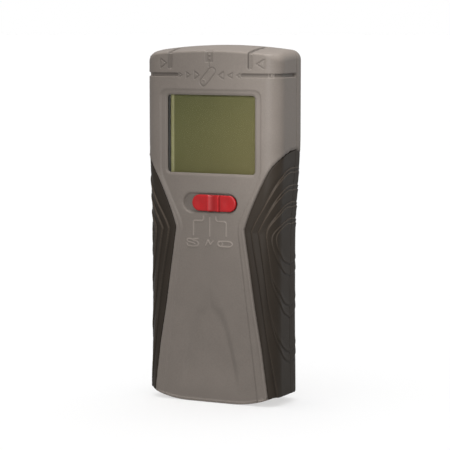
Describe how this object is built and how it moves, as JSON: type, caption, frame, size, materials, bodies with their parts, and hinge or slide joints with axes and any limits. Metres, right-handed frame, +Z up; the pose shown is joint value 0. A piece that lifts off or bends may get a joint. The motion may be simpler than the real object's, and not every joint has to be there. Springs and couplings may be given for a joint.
{
  "type": "stud finder",
  "caption": "Handheld wall detector: grey moulded shells, black stepped rubber grips, square display, red mode slider, side power button and hinged battery door.",
  "frame": {"origin": "bottom centre of the whole object's box, standing on its foot", "axes": "+Z up from foot to sensor head, -Y out of the display face, +X to the right seen from the front"},
  "size_m": [0.074, 0.0336, 0.177],
  "materials": {
    "housing_grey": "fine moulded texture, matte",
    "grip_rubber": "soft matte rubber",
    "clear_window": "clear polished acrylic",
    "lcd_olive": "display glass over an olive reflector",
    "lcd_film": "satin polarizing film",
    "reflector_film": "satin reflective film",
    "black_plastic": "matte",
    "white_plastic": "satin",
    "connector_rubber": "striped conductive rubber",
    "knob_red": "satin red plastic",
    "steel_plate": "pressed steel",
    "screw_steel": "dark zinc plate",
    "board_green": "solder mask over glass fibre laminate",
    "chip_black": "moulded epoxy",
    "can_aluminium": "drawn can",
    "trimmer_blue": "moulded",
    "contact_brass": "gold flash",
    "copper": "enamelled copper",
    "ferrite": "sintered ferrite",
    "pad_felt": "pressed felt",
    "battery_case": "printed metal jacket, no lettering",
    "wire_red": "soft insulation",
    "wire_black": "soft insulation",
    "foam_black": "closed cell foam"
  },
  "bodies": {
    "root": {"front_housing": "housing_grey", "rear_housing": "housing_grey", "front_grip_right": "grip_rubber", "front_grip_left": "grip_rubber", "rear_grip_right": "grip_rubber", "rear_grip_left": "grip_rubber", "lcd_window": "clear_window", "lcd_glass": "lcd_olive", "lcd_polarizer": "lcd_film", "lcd_reflector": "reflector_film", "lcd_holder": "black_plastic", "zebra_connectors": "connector_rubber", "slide_switch": "steel_plate", "tact_switch": "black_plastic", "main_board": "board_green", "controller_chip": "chip_black", "amplifier_chips": "chip_black", "chip_resistors": "chip_black", "electrolytic_capacitors": "can_aluminium", "crystal": "can_aluminium", "voltage_regulator": "chip_black", "calibration_trimmer": "trimmer_blue", "buzzer": "black_plastic", "board_screws": "screw_steel", "housing_screws": "screw_steel", "link_pins": "contact_brass", "link_headers": "black_plastic", "sensor_board": "board_green", "sensing_plates": "copper", "coil_bobbin": "white_plastic", "coil_winding": "copper", "ferrite_core": "ferrite", "voltage_antenna": "copper", "glide_pads": "pad_felt", "battery": "battery_case", "battery_snap": "black_plastic", "lead_red": "wire_red", "lead_black": "wire_black"},
    "slider": {"slider_knob": "knob_red", "slider_carrier": "black_plastic", "switch_lever": "black_plastic"},
    "button": {"power_button": "knob_red", "tact_plunger": "white_plastic"},
    "door": {"battery_door": "housing_grey", "battery_foam": "foam_black"}
  },
  "joints": [
    {"name": "mode_slider", "type": "slide", "parent": "root", "child": "slider", "axis": [1, 0, 0], "range_m": [-0.0047, 0]},
    {"name": "power_button", "type": "slide", "parent": "root", "child": "button", "axis": [1, 0, 0], "range_m": [0, 0.001], "stiffness_N_per_m": 1500, "springref_m": -0.0003},
    {"name": "battery_door", "type": "hinge", "parent": "root", "child": "door", "pos_m": [0, 0.0136, 0.0072], "axis": [-1, 0, 0], "range_deg": [0, 80]}
  ]
}
